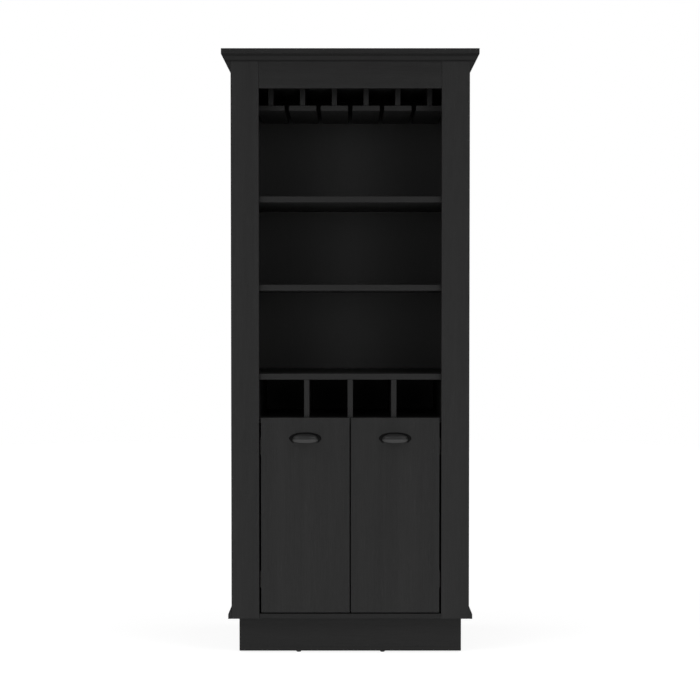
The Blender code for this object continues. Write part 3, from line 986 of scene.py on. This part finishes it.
@dataclass
class HingeArms:
    """The cabinet's half of the four hinges, with the screws of their plates."""

    plate_screw_spread: float = 0.0170
    plate_screw_back: float = 0.0210
    plate_screw_turn: float = 12.0
    plate_rise: float = 0.0067
    arm_screw_backs: tuple[float, float] = (0.0100, 0.0290)
    arm_screw_sink: float = 0.0004
    arm_screw_turn: float = 48.0
    arm_rise: float = 0.0147

    def dress(self, steel: bpy.types.Material) -> None:
        """Covers the four arms.

        Args:
            steel: Their plated steel.
        """
        for side in SIDES:
            for level in LEVELS:
                dress(f"{side}_{level}_hinge_arm", steel)

    def build(self, mesh: bpy.types.Mesh, steel: bpy.types.Material) -> None:
        """Adds the plate screws and the adjusting screws of each arm.

        Args:
            mesh: The screw that they are all copies of.
            steel: Their plated steel.
        """
        for side in SIDES:
            inward = (1, 0, 0) if side == "left" else (-1, 0, 0)
            for level in LEVELS:
                node = f"{side}_{level}_hinge_arm"
                low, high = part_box(node)
                wall = low.x if side == "left" else high.x
                middle = (low.z + high.z) / 2
                plate_face = wall + inward[0] * self.plate_rise
                arm_face = wall + inward[0] * self.arm_rise
                sunk = arm_face - inward[0] * self.arm_screw_sink
                plate_screw = high.y - self.plate_screw_back
                places = [facing(inward, (plate_face, plate_screw, middle + up), self.plate_screw_turn)
                          for up in (-self.plate_screw_spread, self.plate_screw_spread)]
                places += [facing(inward, (sunk, high.y - back, middle), self.arm_screw_turn)
                           for back in self.arm_screw_backs]
                piece = add_piece(f"{node}_screws", gathered((mesh, place) for place in places), steel)
                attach(piece, CABINET)


@dataclass
class Glides:
    """The four glides under the plinth."""

    nodes: tuple[str, ...] = ("front_left_glide", "front_right_glide", "back_left_glide", "back_right_glide")

    def dress(self) -> None:
        """Gives the glides their plastic."""
        plastic = MouldedPlasticFinish().material("glide_plastic_black")
        for node in self.nodes:
            dress(node, plastic)


# ---- studio ----


@dataclass(frozen=True)
class Glow:
    """A soft bright place in the surround, alike on the left and on the right."""

    azimuth: float
    elevation: float
    strength: float
    sharpness: float = 24.0

    def direction(self) -> Vector:
        """Where its middle is, seen from the cabinet."""
        turn, rise = math.radians(self.azimuth), math.radians(self.elevation)
        return Vector((math.sin(turn) * math.cos(rise), -math.cos(turn) * math.cos(rise), math.sin(rise)))


@dataclass
class Surround:
    """White walls all round, which give a faint even light and a few soft, brighter places."""

    even: float = 0.01
    glows: tuple[Glow, ...] = (
        Glow(26.0, 2.0, 5.20, 60.0),
        Glow(16.0, 24.0, 1.52, 60.0),
        Glow(60.0, 45.0, 6.60, 24.0),
        Glow(60.0, 68.0, 0.30, 24.0),
        Glow(100.0, 38.0, 2.60, 20.0),
    )

    def build(self) -> None:
        """Sets up the surround: its light on the cabinet, and plain white where it is seen."""
        world = bpy.data.worlds.new("white_surround")
        world.use_nodes = True
        tree = NodeTree(world.node_tree)
        tree.feed(tree.nodes["Background"].inputs["Color"], (1.0, 1.0, 1.0, 1.0))
        direction = tree.node("ShaderNodeTexCoord", {}, {}).outputs["Generated"]
        across, deep, up = tree.parts(direction)
        mirrored = tree.node("ShaderNodeCombineXYZ", {}, {"X": abs(across), "Y": deep, "Z": up}).outputs[0]
        light = self.even
        for glow in self.glows:
            near = tree.node("ShaderNodeVectorMath", {"operation": "DOT_PRODUCT"},
                             {0: mirrored, 1: glow.direction()}).outputs["Value"]
            light = Signal(tree, near).larger(0.0).power(glow.sharpness) * glow.strength + light
        seen = Signal(tree, tree.node("ShaderNodeLightPath", {}, {}).outputs["Is Camera Ray"])
        tree.feed(tree.nodes["Background"].inputs["Strength"], seen + (1.0 - seen) * light)
        bpy.context.scene.world = world


@dataclass
class Studio:
    """The pale floor, the surround and the camera."""

    floor_radius: float = 8.0
    floor_segments: int = 96
    surround: Surround = field(default_factory=Surround)
    camera_distance: float = 4.45
    camera_height: float = 1.0194
    camera_shift: float = -0.0007
    camera_tilt: float = 1.428
    lens: float = 76.98
    sensor_width: float = 36.0

    def build(self) -> None:
        """Sets up everything around the cabinet."""
        self.add_floor()
        self.surround.build()
        self.add_camera()
        bpy.context.scene.view_settings.view_transform = "Standard"

    def add_floor(self) -> None:
        """A round floor under the glides, with its face up."""
        shape = bmesh.new()
        bmesh.ops.create_circle(shape, cap_ends=True, radius=self.floor_radius,
                                segments=self.floor_segments)
        floor = add_piece("pale_studio_floor", shape, FloorFinish().material(), None)
        for face in floor.data.polygons:
            if face.normal.z < 0:
                floor.data.flip_normals()

    def add_camera(self) -> None:
        """The camera, square to the front and tipped down a little."""
        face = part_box("left_stile")[0].y
        lens = bpy.data.cameras.new("front_camera")
        lens.lens = self.lens
        lens.sensor_width = self.sensor_width
        camera = bpy.data.objects.new("front_camera", lens)
        camera.location = (self.camera_shift, face - self.camera_distance, self.camera_height)
        camera.rotation_euler = (math.radians(90.0 - self.camera_tilt), 0.0, 0.0)
        bpy.context.scene.collection.objects.link(camera)
        bpy.context.scene.camera = camera


def board_groups() -> list[Boards]:
    """The groups of boards, in the order that they are dressed.

    Returns:
        The groups, with the heights of the painted shade lines that cross each.
    """
    across, deep, up = Grain.ACROSS, Grain.DEEP, Grain.UP
    # The rack gets a lighter, glossier copy of the laminate: painted light for the light its deep recess
    # lacks.
    rack_lightened_laminate = LaminateFinish(colour=(0.0105, 0.0105, 0.0105), specular=0.23)
    body_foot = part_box("left_stile")[0].z - BODY_FOOT_SHADE_LINE_DROP
    crown_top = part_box("crown_front")[1].z - CROWN_UPPER_SHADE_LINE_DROP
    crown_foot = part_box("crown_front")[1].z - CROWN_LOWER_SHADE_LINE_DROP
    return [
        Boards("crown", {"crown_board": across, "crown_front": across, "crown_left": deep,
                         "crown_right": deep}, 1, shaped=("crown_front", "crown_left", "crown_right"),
               shade_line_heights=(crown_top, crown_foot)),
        Boards("front frame", {"left_stile": up, "right_stile": up, "frieze": across}, 5,
               shade_line_heights=(crown_foot, body_foot)),
        Boards("sides", {"left_side_panel": up, "right_side_panel": up, "left_partition": up,
                         "right_partition": up}, 8),
        Boards("base", {"bottom_panel": across, "plinth_front": across, "plinth_back": across,
                        "plinth_left": deep, "plinth_right": deep, "skirt_left": deep,
                        "skirt_right": deep}, 12, shaped=("bottom_panel", "skirt_left", "skirt_right"),
               shade_line_heights=(body_foot,)),
        Boards("shelves", {"upper_shelf": across, "middle_shelf": across, "cubby_top_shelf": across,
                           "cubby_floor": across, "inner_shelf": across}, 19, banded=True),
        Boards("dividers", {"left_divider": up, "centre_divider": up, "right_divider": up}, 24,
               banded=True),
        Boards("stemware rack", {"rack_panel": across,
                                 **{f"rail_web_{n}": deep for n in range(1, 7)},
                                 **{f"rail_flange_{n}": deep for n in range(1, 7)}}, 27,
               finish=rack_lightened_laminate, banded=True),
    ]


def main() -> None:
    """Builds and dresses the cabinet, and sets up its studio."""
    logging.basicConfig(level=logging.INFO, format="%(message)s")
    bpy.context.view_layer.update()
    Studio().build()
    for group in board_groups():
        LOG.info("dressed the %s: %d boards", group.title, group.dress())
    steel = PlatedSteelFinish().material("black_nickel_steel", Grain.UP)
    screw = CrossHeadScrew().mesh("cross_head_screw")
    back = BackPanel()
    back.dress()
    back.build(steel)
    LOG.info("built the back panel's nails")
    for number, side in enumerate(SIDES, 41):
        door = Door(side, number)
        door.dress(steel)
        door.build(screw, steel)
        LOG.info("built the %s door's fittings", side)
    arms = HingeArms()
    arms.dress(steel)
    arms.build(screw, steel)
    Glides().dress()
    LOG.info("built the hinge arms' screws and dressed the glides")


if __name__ == "__main__":
    main()
